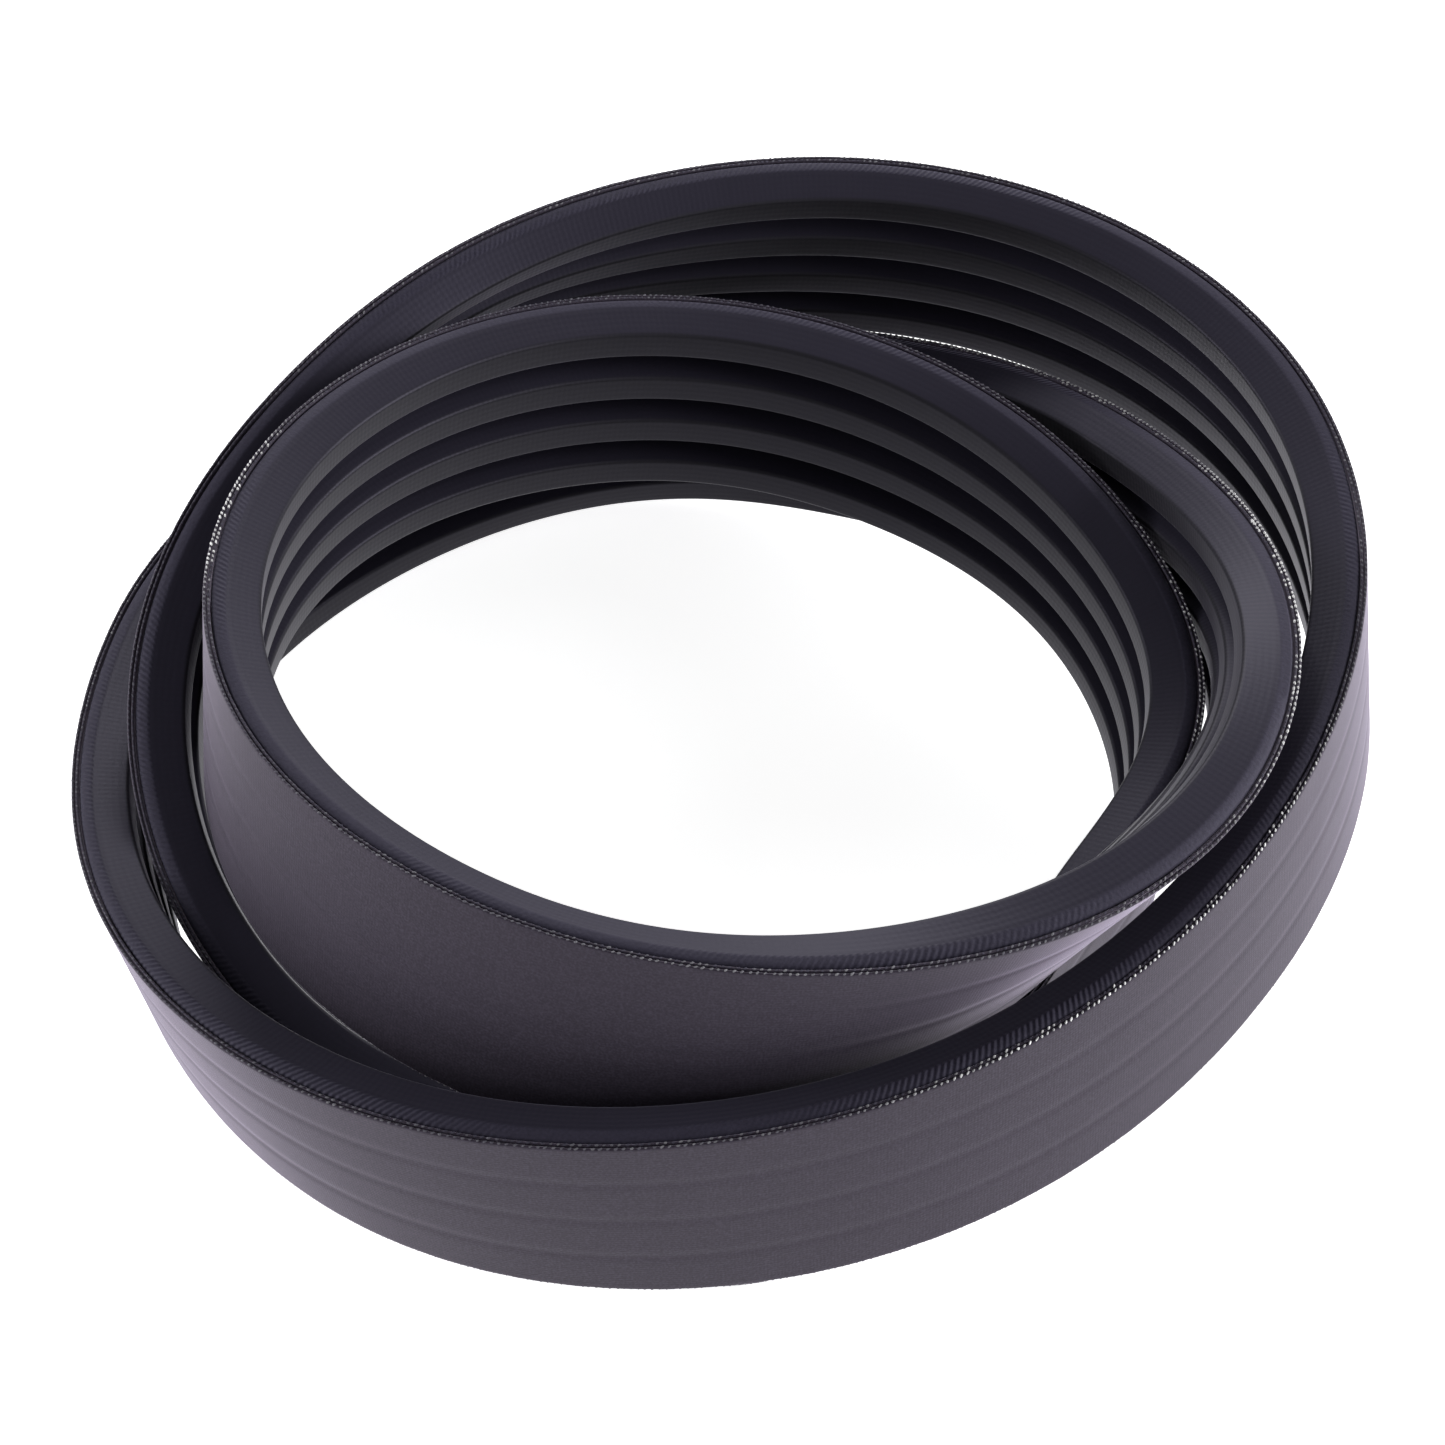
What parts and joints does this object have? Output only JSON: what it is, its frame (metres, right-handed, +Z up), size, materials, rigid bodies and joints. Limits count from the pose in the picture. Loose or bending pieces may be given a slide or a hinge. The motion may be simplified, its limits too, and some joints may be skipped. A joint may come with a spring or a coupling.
{
  "type": "joined v-belt",
  "caption": "Endless joined V-belt, wrapped in fabric, with parallel ribs under one flat tie band, coiled into overlapping turns that stand on edge.",
  "frame": {"origin": "on the surface that the coil stands on, under the middle of its bounding box", "axes": "+Z up, along the axis that the belt is coiled round; +X to the right of the pictured view and +Y away from it"},
  "size_m": [0.3976, 0.3772, 0.1532],
  "materials": {
    "back_fabric": "matte woven fabric, rubber-impregnated",
    "wrap_fabric": "satin woven fabric, rubber-impregnated",
    "cushion_rubber": "matte",
    "polyester_cord": "matte twisted cord",
    "core_rubber": "matte"
  },
  "bodies": {
    "root": {"tie_band_outer_ply": "back_fabric", "tie_band_inner_ply": "back_fabric", "rib_jacket_1": "wrap_fabric", "rib_jacket_2": "wrap_fabric", "rib_jacket_3": "wrap_fabric", "rib_jacket_4": "wrap_fabric", "cushion_rubber_1": "cushion_rubber", "cushion_rubber_2": "cushion_rubber", "cushion_rubber_3": "cushion_rubber", "cushion_rubber_4": "cushion_rubber", "tension_cords_1": "polyester_cord", "tension_cords_2": "polyester_cord", "tension_cords_3": "polyester_cord", "tension_cords_4": "polyester_cord", "compression_core_1": "core_rubber", "compression_core_2": "core_rubber", "compression_core_3": "core_rubber", "compression_core_4": "core_rubber"}
  },
  "joints": []
}
